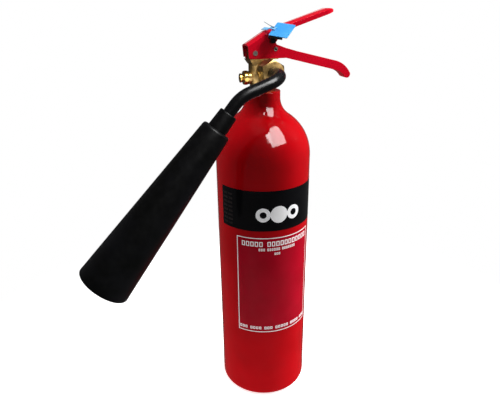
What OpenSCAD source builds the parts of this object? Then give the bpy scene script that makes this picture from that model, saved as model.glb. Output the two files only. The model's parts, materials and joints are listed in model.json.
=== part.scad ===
// Hand-held carbon dioxide fire extinguisher with a swivel horn.
// Origin: centre of the flat base. +Z up the cylinder, -Y out of the valve outlet, +X along the handles.

/* [Cylinder] */
// Outside radius of the cylinder
cyl_r = 58.5; // [55:0.5:62]
// Wall thickness of the cylinder
cyl_wall = 4; // [3:0.5:5]
// Thickness of the flat base
base_wall = 6; // [5:0.5:8]
// Radius of the rounded edge round the base
base_edge_r = 8; // [5:1:10]
// Height at which the straight wall ends and the shoulder starts
shoulder_z = 336; // [320:1:345]
// Outside radius of the neck
neck_r = 21; // [20:0.5:22]
// Radius of the hollow where the shoulder runs into the neck
neck_fillet_r = 25; // [22:1:27]
// Height of the neck's top face
neck_top_z = 413.5; // [413:0.5:414]
// Radius of the neck's bore
neck_bore_r = 13; // [13:1:13]

/* [Bands and labels] */
// Thickness of the printed films
film_t = 0.15; // [0.1:0.01:0.2]
// Lowest height of the black band
band_low_z = 255.5; // [250:0.5:258]
// Highest height of the black band
band_high_z = 307; // [300:0.5:310]
// Half of the angle that the black band covers
band_half_angle = 75; // [60:1:80]
// Lowest height of the front label
label_low_z = 107.5; // [100:0.5:110]
// Highest height of the front label
label_high_z = 247.5; // [240:0.5:250]
// Half of the angle that the front label covers
label_half_angle = 52; // [45:1:55]

/* [Valve] */
// Radius of the valve body between the collar and the table
waist_r = 16.6; // [16:0.1:17]
// Half width of the head block that carries the handles
head_half_w = 8.2; // [8.2:0.1:8.2]
// Height of the head block's top
head_top_z = 463; // [462:0.5:463]
// Height of the outlet axis
outlet_z = 438; // [437:0.5:439]
// Distance across the flats of the swivel nut
nut_flats = 24.6; // [24:0.1:25.5]
// Radius of the pusher pin
pusher_r = 3; // [3:1:3]
// Height of the pusher pin's round tip
pusher_top_z = 476.1; // [476:0.1:476.1]

/* [Burst disc plug] */
// Height of the plug's axis
burst_z = 429; // [427:0.5:429]
// Angle of the plug from -X towards -Y
burst_angle = 0; // [-10:1:20]
// Distance across the plug's flats
burst_flats = 15; // [14:0.5:15]

/* [Levers] */
// Thickness of the pressed steel
plate_t = 1.6; // [1.5:0.1:1.8]
// Half of the squeeze lever's outside width
lever_half_w = 12.2; // [12.2:0.1:12.2]
// How far the lever's arched top rises above its edges
lever_arch = 1.8; // [1.8:0.1:1.8]
// Slope of the lever's rear part
lever_rear_slope = 30.6; // [30.6:0.1:30.6]
// Slope of the lever's grip
lever_grip_slope = 17.4; // [17:0.1:18]
// Half of the carry handle's outside width at the valve
handle_half_w = 9.9; // [9.9:0.1:9.9]
// Half of the carry handle's outside width at its tip
handle_tip_half_w = 7.4; // [7:0.1:8]
// Height of the carry handle's side walls at the start of the grip
handle_depth = 10.5; // [9.5:0.1:11]
// Downward slope of the carry handle's grip
handle_slope = 14.5; // [14:0.5:15]

/* [Pins] */
// Radius of the lever's pivot rivet
pivot_r = 2.4; // [2.4:0.1:2.4]
// Radius of the tubular rivet through the carry handle
rivet_r = 2; // [1.9:0.1:2.2]
// Radius of the safety pin
safety_r = 1.5; // [1.5:0.1:1.5]
// Outside radius of the pull loop
loop_r = 8; // [7.5:0.5:8]

/* [Horn] */
// Outside radius of the swivel pipe
pipe_r = 6.6; // [6.6:0.1:6.6]
// Bore radius of the swivel pipe
pipe_bore_r = 4.9; // [4:0.1:5]
// Distance from the cylinder's axis to the plane that the horn swings in
horn_plane = 75; // [75:1:78]
// Slope of the pipe's short straight part below level
pipe_dip = 19.6; // [18:0.2:21]
// Slope of the horn below level
horn_dip = 50.5; // [48:0.5:53]
// Distance from the swivel axis to the corner where the pipe turns down
pipe_reach = 50.6; // [49:0.2:52]
// Length from that corner to the horn's mouth
horn_end = 250; // [240:0.1:256]
// Outside radius of the horn at its top
horn_top_r = 15.8; // [15:0.1:16.5]
// Outside radius of the horn at its mouth
horn_mouth_r = 30.2; // [30:0.1:31]
// Thickness of the horn's wall
horn_wall = 2.4; // [2:0.1:3]

/* [Hidden] */
$fn = 64;
eps = 0.01;

// Shoulder: the fillet's centre touches the dome from outside
fillet_x = neck_r + neck_fillet_r;
fillet_z = shoulder_z + sqrt(pow(cyl_r + neck_fillet_r, 2) - pow(fillet_x, 2));
o_ring_seat = 1.8;
o_ring_cord_r = 0.85;
o_ring_ring_r = neck_bore_r + 0.95;

// Valve stack, bottom to top
shank_low_z = 392;
retainer_top_z = 398;
spring_top_z = 420;
piston_top_z = 431;
seat_z = 433;
chamber_r = 8;
passage_r = 6;
collar_top_z = 423.5;
collar_r = 15.2;
table_low_z = 443.5;
table_top_z = 449.3;
step_top_z = 450.1;
gland_floor_z = 455;
gland_pocket_r = 7;
running = 0.05;

// Outlet, along -Y
boss_end_y = -33.4;
nut_back_y = -24;
nut_wall_y = -36;
nut_front_y = -40;
thread_r = 9.5;
washer_t = 0.6;
ferrule_back_y = -34.15;
ferrule_front_y = -35.85;
ferrule_r = 9.2;

// Burst disc plug, distances along its own axis
burst_boss_end = 18;
burst_port_r = 2.5;
burst_thread_r = 4.8;
burst_seat = 10.8;
burst_washer_t = 0.8;
burst_disc_t = 0.3;

// Lever and handle points in the XZ plane
pivot = [-12.5, 456.8];
rivet = [12.7, 460.3];
lever_knee = [3, 478.5];
lever_tip_x = 73.2;
nose_r = 20;
nose_centre = [76, 482.6];
arch_r = (pow(lever_half_w, 2) + pow(lever_arch, 2)) / (2 * lever_arch);
safety = [7.2, 470.2];
slot_gap = 0.35;
safety_arm = norm(safety - pivot);
safety_angle = atan2(safety[1] - pivot[1], safety[0] - pivot[0]);
lever_travel = 12;
curl_centre = [81.8, 413.6];
curl_r = 31.8;
curl_end_angle = 33;
curl_steps = 10;
curl_taper = 3.4;
under_centre = curl_centre + curl_taper * [cos(handle_slope), -sin(handle_slope)];
handle_wall_z = 450.1;
web_start_x = 17;

// Pull loop and seal
loop_centre = [6.8, -24.2, 473.6];
loop_t = 2.6;
loop_band = 2.6;
loop_tilt = 10;
hub_r = 3.2;
tag_corner = [13.3, -13.4, 488.4];
tag_turn = [33, 7.2, -46];
tag_w = 22.4;
tag_h = 22.6;
tag_t = 0.8;
strap_w = 5;
strap_t = 0.9;
strap_clear = 1.2;
tail_start = [8.3, -20.7, 483.6];
tail_lean = 64;
tail_len = 14.6;

// Horn, distances along its own axis from the pipe's lower corner
elbow_r = 20;
bend_r = 38;
bend_turn = horn_dip - pipe_dip;
bend_tangent = bend_r * tan(bend_turn / 2);
bend_steps = 5;
pipe_sides = 40;
collar_start = 20.5;
screw_r = 1.6;
horn_start = 41;
horn_top_wall = 5;
shoulder_round = 4;
pipe_end = 50;
nozzle_end = 60;

// ---------- helpers ----------

// A round bar along -Y
module bar_y(r, y_back, y_front) {
    translate([0, y_back, 0])
        rotate([90, 0, 0])
            cylinder(h = y_back - y_front, r = r);
}

// A round bar along Y, both ways from the middle plane, at a point of the XZ plane
module cross_bar(at, r, half) {
    translate([at[0], 0, at[1]])
        bar_y(r, half, -half);
}

// Turns an outline in the XZ plane into a plate that reaches half each way along Y
module side_plate(half) {
    translate([0, half, 0])
        rotate([90, 0, 0])
            linear_extrude(2 * half)
                children();
}

// A ring of round section round the Z axis
module o_ring(ring_r, cord_r) {
    rotate_extrude()
        translate([ring_r, 0])
            circle(cord_r);
}

// Children drawn along +Z come out along the burst disc plug's axis
module along_burst() {
    translate([0, 0, burst_z])
        rotate([0, 0, 180 + burst_angle])
            rotate([0, 90, 0])
                children();
}

// Children drawn in the XY plane with the pipe running along -X come out in the pipe's own plane
module along_pipe() {
    translate([0, 0, outlet_z])
        rotate([0, -pipe_dip, 0])
            children();
}

// Children drawn along +Z come out along the horn, measured from the pipe's lower corner
module along_horn() {
    along_pipe()
        translate([-pipe_reach, -horn_plane, 0])
            rotate([0, pipe_dip - horn_dip - 90, 0])
                children();
}

// ---------- cylinder ----------

module cylinder_outline() {
    intersection() {
        union() {
            translate([cyl_r - base_edge_r, base_edge_r])
                circle(base_edge_r);
            square([cyl_r - base_edge_r, shoulder_z]);
            translate([0, base_edge_r])
                square([cyl_r, shoulder_z - base_edge_r]);
            translate([0, shoulder_z])
                circle(cyl_r);
            square([neck_r, neck_top_z]);
            difference() {
                polygon([[0, shoulder_z], [fillet_x, fillet_z], [0, fillet_z]]);
                translate([fillet_x, fillet_z])
                    circle(neck_fillet_r);
            }
        }
        square([2 * cyl_r, neck_top_z]);
    }
}

module cylinder_hollow() {
    inner_r = cyl_r - cyl_wall;
    inner_edge_r = base_edge_r - cyl_wall;
    translate([inner_r - inner_edge_r, base_wall + inner_edge_r])
        circle(inner_edge_r);
    translate([0, base_wall])
        square([inner_r - inner_edge_r, shoulder_z - base_wall]);
    translate([0, base_wall + inner_edge_r])
        square([inner_r, shoulder_z - base_wall - inner_edge_r]);
    intersection() {
        translate([0, shoulder_z])
            circle(inner_r);
        square([inner_r, neck_top_z]);
    }
    square([neck_bore_r, neck_top_z + 1]);
}

module cylinder_shell() {
    color("red")
        rotate_extrude()
            difference() {
                cylinder_outline();
                intersection() {
                    cylinder_hollow();
                    translate([0, base_wall])
                        square([cyl_r, neck_top_z]);
                }
                translate([0, neck_top_z - o_ring_seat])
                    square([o_ring_ring_r + o_ring_cord_r + 0.1, o_ring_seat + 1]);
            }
}

// A printed film on the cylinder's wall, centred on -Y
module film(low_z, high_z, half_angle) {
    rotate([0, 0, -90 - half_angle])
        rotate_extrude(angle = 2 * half_angle)
            translate([cyl_r, low_z])
                square([film_t, high_z - low_z]);
}

module agent_band() {
    color("black")
        film(band_low_z, band_high_z, band_half_angle);
}

module front_label() {
    color("firebrick")
        film(label_low_z, label_high_z, label_half_angle);
}

// ---------- valve ----------

module valve_outside() {
    translate([0, 0, shank_low_z])
        cylinder(h = neck_top_z - shank_low_z, r = neck_bore_r - 0.1);
    translate([0, 0, neck_top_z])
        cylinder(h = collar_top_z - neck_top_z, r = collar_r);
    intersection() {
        translate([0, 0, collar_top_z - eps])
            cylinder(h = table_low_z - collar_top_z + 1, r = waist_r);
        side_plate(waist_r + 1)
            polygon([[-waist_r - 1, collar_top_z - 1], [waist_r + 1, collar_top_z - 1], [waist_r + 1, 432],
                [10.6, 438], [10.6, table_top_z], [-waist_r - 1, table_top_z]]);
    }
    side_plate(12.6)
        polygon([[-14.6, table_low_z], [7, table_low_z], [8.4, table_top_z], [-18.8, table_top_z]]);
    side_plate(handle_half_w)
        polygon([[-17.6, table_top_z - 1], [8.4, table_top_z - 1], [8.4, step_top_z], [-17.6, step_top_z]]);
    side_plate(head_half_w)
        polygon([[-16.3, step_top_z - 1], [16.4, step_top_z - 1], [16.4, head_top_z], [-13.5, head_top_z],
            [-16.3, 460]]);
    translate([0, 0, outlet_z]) {
        bar_y(11.6, 0, nut_back_y);
        bar_y(thread_r, 0, boss_end_y);
    }
    along_burst()
        cylinder(h = burst_boss_end, r = 7.4);
}

module valve_body() {
    color("darkgoldenrod")
        difference() {
            valve_outside();
            translate([0, 0, shank_low_z - 1])
                cylinder(h = seat_z - shank_low_z + 1, r = chamber_r);
            translate([0, 0, seat_z - 1])
                cylinder(h = 3, r = 4.6);
            translate([0, 0, seat_z + 2])
                cylinder(h = 10, r = passage_r);
            translate([0, 0, seat_z])
                cylinder(h = 30, r = pusher_r + running);
            translate([0, 0, gland_floor_z])
                cylinder(h = 20, r = gland_pocket_r);
            translate([0, 0, outlet_z])
                bar_y(4.2, 0, boss_end_y - 1);
            along_burst() {
                translate([0, 0, 6])
                    cylinder(h = 20, r = burst_port_r);
                translate([0, 0, burst_seat])
                    cylinder(h = 20, r = burst_thread_r + running);
            }
            cross_bar(pivot, pivot_r, 20);
            cross_bar(rivet, rivet_r, 20);
        }
}

module neck_o_ring() {
    color("black")
        translate([0, 0, neck_top_z - o_ring_seat / 2])
            o_ring(o_ring_ring_r, o_ring_cord_r);
}

module spring_retainer() {
    color("goldenrod")
        difference() {
            union() {
                translate([0, 0, shank_low_z - 5])
                    cylinder(h = 5, r = 11);
                translate([0, 0, shank_low_z - eps])
                    cylinder(h = retainer_top_z - shank_low_z, r = chamber_r - running);
            }
            translate([0, 0, shank_low_z - 10])
                cylinder(h = 20, r = 3.2);
            translate([0, 0, shank_low_z - 10])
                cylinder(h = 11, r = 5);
        }
}

module dip_tube() {
    color("silver")
        translate([0, 0, 14])
            difference() {
                cylinder(h = shank_low_z + 1 - 14, r = 5);
                translate([0, 0, -1])
                    cylinder(h = 400, r = 4);
            }
}

module gland_nut() {
    color("goldenrod")
        difference() {
            union() {
                translate([0, 0, gland_floor_z + 2])
                    cylinder(h = head_top_z - gland_floor_z - 2 + eps, r = gland_pocket_r - running);
                translate([0, 0, head_top_z])
                    cylinder(h = 3.6, r = 7.9, $fn = 6);
            }
            translate([0, 0, gland_floor_z])
                cylinder(h = 20, r = pusher_r + running);
        }
}

module gland_o_ring() {
    color("black")
        translate([0, 0, gland_floor_z + 1])
            o_ring(pusher_r + 1.03, 0.95);
}

// ---------- valve core ----------

module pusher_pin() {
    color("silver")
        rotate_extrude()
            intersection() {
                union() {
                    translate([0, piston_top_z])
                        square([pusher_r, pusher_top_z - pusher_r - piston_top_z]);
                    translate([0, pusher_top_z - pusher_r])
                        circle(pusher_r);
                }
                square([pusher_r, pusher_top_z]);
            }
}

module valve_piston() {
    color("goldenrod")
        difference() {
            union() {
                translate([0, 0, spring_top_z])
                    cylinder(h = piston_top_z - spring_top_z, r = 7.4);
                translate([0, 0, spring_top_z - 5])
                    cylinder(h = 5, r = 3.6);
            }
            for (a = [0 : 60 : 300])
                rotate([0, 0, a])
                    translate([8, 0, spring_top_z - 1])
                        cylinder(h = 20, r = 1.6);
        }
}

module seat_seal() {
    color("black")
        translate([0, 0, piston_top_z])
            difference() {
                cylinder(h = seat_z - piston_top_z - 0.05, r = 6.2);
                translate([0, 0, -1])
                    cylinder(h = 5, r = pusher_r);
            }
}

spring_wire_r = 0.6;
spring_coil_r = 5.4;
spring_turns = 6;
spring_steps = 18;
spring_sides = 8;

// One point of the wire's skin: i counts along the wire, j round it
function wire_point(i, j) =
    let (
        turn = 360 * i / spring_steps,
        around = 360 * j / spring_sides,
        rise = spring_top_z - retainer_top_z - 2 * spring_wire_r - 0.1,
        z = retainer_top_z + spring_wire_r + 0.05 + rise * i / (spring_turns * spring_steps),
        r = spring_coil_r + spring_wire_r * cos(around)
    )
    [r * cos(turn), r * sin(turn), z + spring_wire_r * sin(around)];

module valve_spring() {
    rings = spring_turns * spring_steps;
    n = spring_sides;
    color("silver")
        polyhedron(
            points = [for (i = [0 : rings], j = [0 : n - 1]) wire_point(i, j)],
            faces = concat(
                [[for (j = [0 : n - 1]) j]],
                [for (i = [0 : rings - 1], j = [0 : n - 1])
                    [i * n + j, (i + 1) * n + j, (i + 1) * n + (j + 1) % n, i * n + (j + 1) % n]],
                [[for (j = [n - 1 : -1 : 0]) rings * n + j]]
            )
        );
}

// ---------- burst disc ----------

module burst_disc_washer() {
    color("silver")
        along_burst()
            translate([0, 0, burst_seat])
                difference() {
                    cylinder(h = burst_washer_t, r = burst_thread_r - 0.1);
                    translate([0, 0, -1])
                        cylinder(h = 3, r = burst_port_r);
                }
}

module burst_disc() {
    color("gainsboro")
        along_burst()
            translate([0, 0, burst_seat + burst_washer_t])
                cylinder(h = burst_disc_t, r = burst_thread_r - 0.1);
}

module burst_disc_plug() {
    thread_start = burst_seat + burst_washer_t + burst_disc_t;
    hex_start = burst_boss_end;
    hex_end = hex_start + 5.6;
    neck_end = hex_end + 1.4;
    cap_end = neck_end + 2.8;
    color("gold")
        along_burst()
            difference() {
                union() {
                    translate([0, 0, thread_start])
                        cylinder(h = hex_start - thread_start + eps, r = burst_thread_r);
                    intersection() {
                        translate([0, 0, hex_start])
                            cylinder(h = hex_end - hex_start, r = burst_flats / 2 / cos(30), $fn = 6);
                        translate([0, 0, hex_start + 3])
                            sphere(burst_flats / 2 + 0.6);
                    }
                    translate([0, 0, hex_end - eps])
                        cylinder(h = cap_end - hex_end, r = 3.3);
                    translate([0, 0, neck_end])
                        cylinder(h = (cap_end - neck_end) / 2, r1 = 4.2, r2 = 5.2);
                    translate([0, 0, (neck_end + cap_end) / 2 - eps])
                        cylinder(h = (cap_end - neck_end) / 2, r = 5.2);
                }
                translate([0, 0, thread_start - 1])
                    cylinder(h = hex_end - thread_start + 2, r = 1.8);
                translate([0, -10, hex_end + 0.8])
                    rotate([-90, 0, 0])
                        cylinder(h = 20, r = 0.7);
                translate([0, 0, cap_end - 1])
                    cylinder(h = 5, r = 2.2);
            }
}

// ---------- swivel outlet ----------

module swivel_nut() {
    corner_r = nut_flats / 2 / cos(30);
    color("darkgoldenrod")
        translate([0, 0, outlet_z])
            difference() {
                intersection() {
                    translate([0, nut_back_y, 0])
                        rotate([90, 0, 0])
                            rotate([0, 0, 30])
                                cylinder(h = nut_back_y - nut_front_y, r = corner_r, $fn = 6);
                    union() {
                        bar_y(corner_r, nut_back_y + 1, nut_front_y + 1.6);
                        translate([0, nut_front_y + 1.6 + eps, 0])
                            rotate([90, 0, 0])
                                cylinder(h = 1.6 + eps, r1 = corner_r, r2 = nut_flats / 2 - 0.4);
                    }
                }
                bar_y(thread_r + running, nut_back_y + 1, nut_wall_y);
                bar_y(pipe_r + 0.08, nut_back_y, nut_front_y - 1);
            }
}

module swivel_washer() {
    color("white")
        translate([0, 0, outlet_z])
            difference() {
                bar_y(thread_r - 0.4, boss_end_y, boss_end_y - washer_t);
                bar_y(pipe_bore_r, boss_end_y + 1, boss_end_y - 5);
            }
}

module swivel_ferrule() {
    color("goldenrod")
        translate([0, 0, outlet_z])
            difference() {
                bar_y(ferrule_r, ferrule_back_y, ferrule_front_y);
                bar_y(pipe_r, ferrule_back_y + 1, ferrule_front_y - 1);
            }
}

// The pipe's centreline in its own plane's frame: each entry is a point, the direction there, and a normal
leg_x = -elbow_r - (pipe_reach - elbow_r - bend_tangent);
pipe_stations = concat(
    [[[0, ferrule_back_y, 0], [0, -1, 0], [0, 0, 1]]],
    [for (a = [0 : 9 : 90])
        [[elbow_r * (cos(a) - 1), elbow_r * (1 - sin(a)) - horn_plane, 0], [-sin(a), -cos(a), 0], [0, 0, 1]]],
    [for (k = [0 : bend_steps])
        let (a = bend_turn * k / bend_steps)
        [[leg_x - bend_r * sin(a), -horn_plane, bend_r * (cos(a) - 1)], [-cos(a), 0, -sin(a)],
            [-sin(a), 0, cos(a)]]],
    [let (a = bend_turn, s = pipe_end - bend_tangent)
        [[leg_x - bend_r * sin(a) - s * cos(a), -horn_plane, bend_r * (cos(a) - 1) - s * sin(a)],
            [-cos(a), 0, -sin(a)], [-sin(a), 0, cos(a)]]]
);

// One ring of points round a station
function pipe_ring(station, r) =
    let (across = cross(station[1], station[2]))
    [for (j = [0 : pipe_sides - 1])
        let (a = 360 * j / pipe_sides)
        station[0] + r * cos(a) * station[2] + r * sin(a) * across];

module swivel_pipe() {
    n = pipe_sides;
    last = len(pipe_stations) - 1;
    bore = n * (last + 1);
    color("#202020")
        along_pipe()
            polyhedron(
                points = concat(
                    [for (s = pipe_stations) each pipe_ring(s, pipe_r)],
                    [for (s = pipe_stations) each pipe_ring(s, pipe_bore_r)]
                ),
                faces = concat(
                    [for (i = [0 : last - 1], j = [0 : n - 1])
                        [i * n + j, (i + 1) * n + j, (i + 1) * n + (j + 1) % n, i * n + (j + 1) % n]],
                    [for (i = [0 : last - 1], j = [0 : n - 1])
                        [bore + i * n + j, bore + i * n + (j + 1) % n, bore + (i + 1) * n + (j + 1) % n,
                            bore + (i + 1) * n + j]],
                    [for (j = [0 : n - 1])
                        [j, (j + 1) % n, bore + (j + 1) % n, bore + j]],
                    [for (j = [0 : n - 1])
                        [last * n + j, bore + last * n + j, bore + last * n + (j + 1) % n,
                            last * n + (j + 1) % n]]
                )
            );
}

module collar_outline() {
    difference() {
        union() {
            polygon([[0, collar_start + 1], [9.9, collar_start + 1], [10.7, horn_start], [0, horn_start]]);
            translate([0, collar_start])
                square([8.9, 2]);
            translate([8.9, collar_start + 1])
                circle(1);
        }
        square([pipe_r, 2 * horn_start]);
        translate([-20, 0])
            square([20, 2 * horn_start]);
    }
}

// The grub screw's place in the collar, on the side towards the cylinder
module screw_bar(start, end) {
    along_horn()
        translate([0, 0, 31])
            rotate([90, 0, 180])
                translate([0, 0, start])
                    cylinder(h = end - start, r = screw_r);
}

module horn_collar() {
    color("#1a1a1a")
        difference() {
            along_horn()
                rotate_extrude()
                    collar_outline();
            screw_bar(pipe_r - 1, 20);
        }
}

module horn_screw() {
    color("gray")
        screw_bar(pipe_r + 0.05, pipe_r + 3.8);
}

module discharge_nozzle() {
    color("goldenrod")
        along_horn()
            difference() {
                translate([0, 0, horn_start + horn_top_wall])
                    cylinder(h = nozzle_end - horn_start - horn_top_wall, r = 8.4);
                cylinder(h = pipe_end, r = pipe_r);
                cylinder(h = nozzle_end - 3, r = 3);
                for (a = [45 : 90 : 315])
                    rotate([0, 0, a])
                        translate([0, 0, pipe_end + 3.5])
                            rotate([0, 90, 0])
                                cylinder(h = 20, r = 1.2);
            }
}

module horn() {
    top_z = horn_start;
    body_z = horn_start + shoulder_round;
    roof_z = horn_start + horn_top_wall;
    inner_top_r = horn_top_r - horn_wall;
    inner_mouth_r = horn_mouth_r - horn_wall;
    color("#1a1a1a")
        along_horn()
            rotate_extrude()
                difference() {
                    union() {
                        intersection() {
                            translate([horn_top_r - shoulder_round, body_z])
                                circle(shoulder_round);
                            translate([0, top_z])
                                square([horn_top_r, shoulder_round]);
                        }
                        translate([0, top_z])
                            square([horn_top_r - shoulder_round, shoulder_round + eps]);
                        polygon([[0, body_z], [horn_top_r, body_z], [horn_mouth_r, horn_end], [0, horn_end]]);
                    }
                    polygon([[0, roof_z], [inner_top_r, roof_z], [inner_mouth_r, horn_end],
                        [inner_mouth_r, horn_end + 1], [0, horn_end + 1]]);
                    square([pipe_r, horn_end]);
                }
}

// ---------- carry handle ----------

// Points of an arc round a centre, from one angle to another
function arc(centre, r, from, to, steps) =
    [for (k = [0 : steps])
        let (a = from + (to - from) * k / steps)
        centre + r * [cos(a), sin(a)]];

// The handle's underside at a distance out from its own centre: the tip's arc, then the corner at the valve
function handle_under(r, level) =
    let (
        start = 90 - handle_slope,
        tangent = under_centre + r * [cos(start), sin(start)],
        back = (level - tangent[1]) / tan(handle_slope)
    )
    concat(arc(under_centre, r, curl_end_angle, start, curl_steps), [[tangent[0] - back, level]]);

module handle_side() {
    end = [cos(curl_end_angle), sin(curl_end_angle)];
    top = curl_centre + curl_r * end;
    low = under_centre + (curl_r - handle_depth) * end;
    lean = atan2(top[1] - low[1], top[0] - low[0]);
    polygon(concat(
        [[-18.4, handle_wall_z], [-18.4, 460], [-14, 463.6], [-4, 466], [1.2, 470.9], [7, 472.9], [11.4, 473.2],
            [12.6, 468], [14, 465.3], [24, 461.6], [39, 457.2]],
        arc(curl_centre, curl_r, 90 - handle_slope, curl_end_angle, curl_steps),
        arc((top + low) / 2, norm(top - low) / 2, lean - 30, lean - 150, 4),
        handle_under(curl_r - handle_depth, handle_wall_z)
    ));
}

module handle_inside() {
    end = curl_end_angle + 3;
    polygon(concat(
        [[-30, 520], [150, 520], under_centre + 90 * [cos(end), sin(end)]],
        [under_centre + (curl_r - handle_depth + plate_t) * [cos(end), sin(end)]],
        [for (p = handle_under(curl_r - handle_depth + plate_t, handle_wall_z + plate_t))
            if (p[0] < under_centre[0] + (curl_r - handle_depth) * cos(end)) p],
        [[-30, handle_wall_z + plate_t]]
    ));
}

// The handle's outline seen from above, pulled in by inset
module handle_plan(inset) {
    linear_extrude(120)
        polygon([[-30, inset - handle_half_w], [24, inset - handle_half_w], [112, inset - handle_tip_half_w],
            [112, handle_tip_half_w - inset], [24, handle_half_w - inset], [-30, handle_half_w - inset]]);
}

module carry_handle() {
    color("red")
        difference() {
            intersection() {
                side_plate(20)
                    handle_side();
                translate([0, 0, 400])
                    handle_plan(0);
            }
            intersection() {
                side_plate(20)
                    handle_inside();
                translate([0, 0, 400])
                    handle_plan(plate_t);
            }
            translate([-30, plate_t - handle_half_w, 440])
                cube([30 + web_start_x, 2 * (handle_half_w - plate_t), 40]);
            cross_bar(pivot, pivot_r, 20);
            cross_bar(rivet, rivet_r, 20);
            cross_bar(safety, safety_r + running, 20);
        }
}

module handle_rivet() {
    color("silver")
        difference() {
            union() {
                cross_bar(rivet, rivet_r, handle_half_w);
                cross_bar(rivet, rivet_r + 0.4, handle_half_w + 0.4);
            }
            difference() {
                cross_bar(rivet, rivet_r + 1, handle_half_w);
                cross_bar(rivet, rivet_r, handle_half_w + 1);
            }
            cross_bar(rivet, 1.1, 20);
        }
}

module lever_pivot_pin() {
    gap = 0.1;
    color("silver")
        difference() {
            union() {
                cross_bar(pivot, pivot_r, lever_half_w + gap);
                cross_bar(pivot, pivot_r + 0.4, lever_half_w + gap + 0.5);
            }
            difference() {
                cross_bar(pivot, pivot_r + 2, lever_half_w + gap);
                cross_bar(pivot, pivot_r, 30);
            }
            for (side = [-1, 1])
                translate([pivot[0], side * (lever_half_w + gap + 0.8), pivot[1]])
                    rotate([90, 0, 0])
                        cylinder(h = 1, r = 1.1, center = true);
        }
}

// ---------- squeeze lever ----------

// The lever's cross-section, open at the bottom: an arched top between two side walls
module lever_section(inset) {
    depth = 45;
    intersection() {
        translate([0, lever_arch - arch_r])
            circle(arch_r - inset);
        translate([inset - lever_half_w, -depth])
            square([2 * (lever_half_w - inset), depth + lever_arch + 1]);
    }
}

// One straight run of the lever's section from the knee, between two distances along its slope
module lever_run(slope, from, to, inset) {
    translate([lever_knee[0], 0, lever_knee[1]])
        rotate([0, -slope, 0])
            rotate([90, 0, 90])
                translate([0, 0, from])
                    linear_extrude(to - from)
                        lever_section(inset);
}

// The half of space behind (side = -1) or in front of (side = 1) the lever's knee
module knee_half(side) {
    translate([lever_knee[0], 0, lever_knee[1]])
        rotate([0, -(lever_rear_slope + lever_grip_slope) / 2, 0])
            translate([side > 0 ? 0 : -120, -30, -80])
                cube([120, 60, 120]);
}

// Side view limit of the grip: past the nose's centre its top curves down to the tip
module lever_nose(inset) {
    translate(nose_centre) {
        circle(nose_r - inset);
        rotate(lever_grip_slope)
            translate([-120, -60])
                square([120, 100]);
    }
}

module lever_form(inset) {
    intersection() {
        lever_run(lever_rear_slope, -50, 8, inset);
        knee_half(-1);
    }
    intersection() {
        lever_run(lever_grip_slope, -8, 110, inset);
        knee_half(1);
        side_plate(30)
            lever_nose(inset);
    }
}

// The lever's outline seen from above, with a round tip, pulled in by inset
module lever_plan(inset) {
    translate([0, 0, 430])
        linear_extrude(100) {
            translate([-40, inset - lever_half_w])
                square([40 + lever_tip_x, 2 * (lever_half_w - inset)]);
            translate([lever_tip_x, 0])
                circle(lever_half_w - inset);
        }
}

module lever_side() {
    polygon([[-20.9, 464], [-19.6, 451.3], [-8.1, 451.3], [2.5, 459.9], [13.2, 469.2], [16.5, 475.6],
        [22, 479.4], [80, 497.6], [100, 503.6], [100, 530], [-20.9, 530]]);
}

module lever_slot() {
    half = safety_r + slot_gap;
    translate([pivot[0], 0, pivot[1]])
        rotate([90, 0, 0]) {
            rotate([0, 0, safety_angle])
                rotate_extrude(angle = lever_travel)
                    translate([safety_arm - half, -20])
                        square([2 * half, 40]);
            for (a = [0, lever_travel])
                rotate([0, 0, safety_angle + a])
                    translate([safety_arm, 0, -20])
                        cylinder(h = 40, r = half);
        }
}

module squeeze_lever() {
    color("red")
        difference() {
            intersection() {
                lever_form(0);
                lever_plan(0);
                side_plate(20)
                    lever_side();
            }
            intersection() {
                lever_form(plate_t);
                lever_plan(plate_t);
            }
            cross_bar(pivot, pivot_r + running, 20);
            lever_slot();
        }
}

// ---------- safety pin and seal ----------

module safety_pin() {
    tip_y = 13.6;
    color("silver")
        translate([safety[0], 0, safety[1]]) {
            bar_y(safety_r, tip_y, -14.5);
            translate([0, tip_y - eps, 0])
                rotate([-90, 0, 0])
                    cylinder(h = 1, r1 = safety_r, r2 = 0.9);
        }
}

module pin_pull_loop() {
    color("black")
        difference() {
            union() {
                translate([safety[0], 0, safety[1]])
                    bar_y(hub_r, -13, -17.6);
                translate(loop_centre)
                    rotate([0, loop_tilt, 0])
                        translate([0, 0, -loop_t / 2])
                            cylinder(h = loop_t, r = loop_r);
            }
            translate([safety[0], 0, safety[1]])
                bar_y(safety_r, 0, -14.5);
            translate(loop_centre)
                rotate([0, loop_tilt, 0])
                    translate([0, 0, -loop_t])
                        cylinder(h = 2 * loop_t, r = loop_r - loop_band);
        }
}

// Children drawn in the XY plane lie on the tag, with its upper left corner at the origin
module on_tag() {
    translate(tag_corner)
        rotate(tag_turn)
            children();
}

module seal_flag() {
    corner_r = 1.3;
    color("deepskyblue")
        on_tag()
            difference() {
                linear_extrude(tag_t) {
                    translate([corner_r, -tag_h])
                        square([tag_w - 2 * corner_r, tag_h]);
                    translate([0, corner_r - tag_h])
                        square([tag_w, tag_h - 2 * corner_r]);
                    for (x = [corner_r, tag_w - corner_r], y = [-corner_r, corner_r - tag_h])
                        translate([x, y])
                            circle(corner_r);
                }
                for (y = [-9.8, -13.6])
                    translate([2.4, y, -1])
                        cylinder(h = 5, r = 0.8);
            }
}

module seal_strap() {
    color("lightskyblue") {
        translate([lever_knee[0], 0, lever_knee[1]])
            rotate([0, -lever_rear_slope, 0])
                translate([-1, -19, lever_arch + strap_clear])
                    cube([strap_w, 27.5, strap_t]);
        on_tag()
            translate([-5.5, -14.2, tag_t])
                cube([9.5, strap_w, strap_t]);
    }
    color("white")
        translate(tail_start)
            rotate([0, -tail_lean, 0])
                cylinder(h = tail_len, r1 = 0.45, r2 = 0.3);
}

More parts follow.
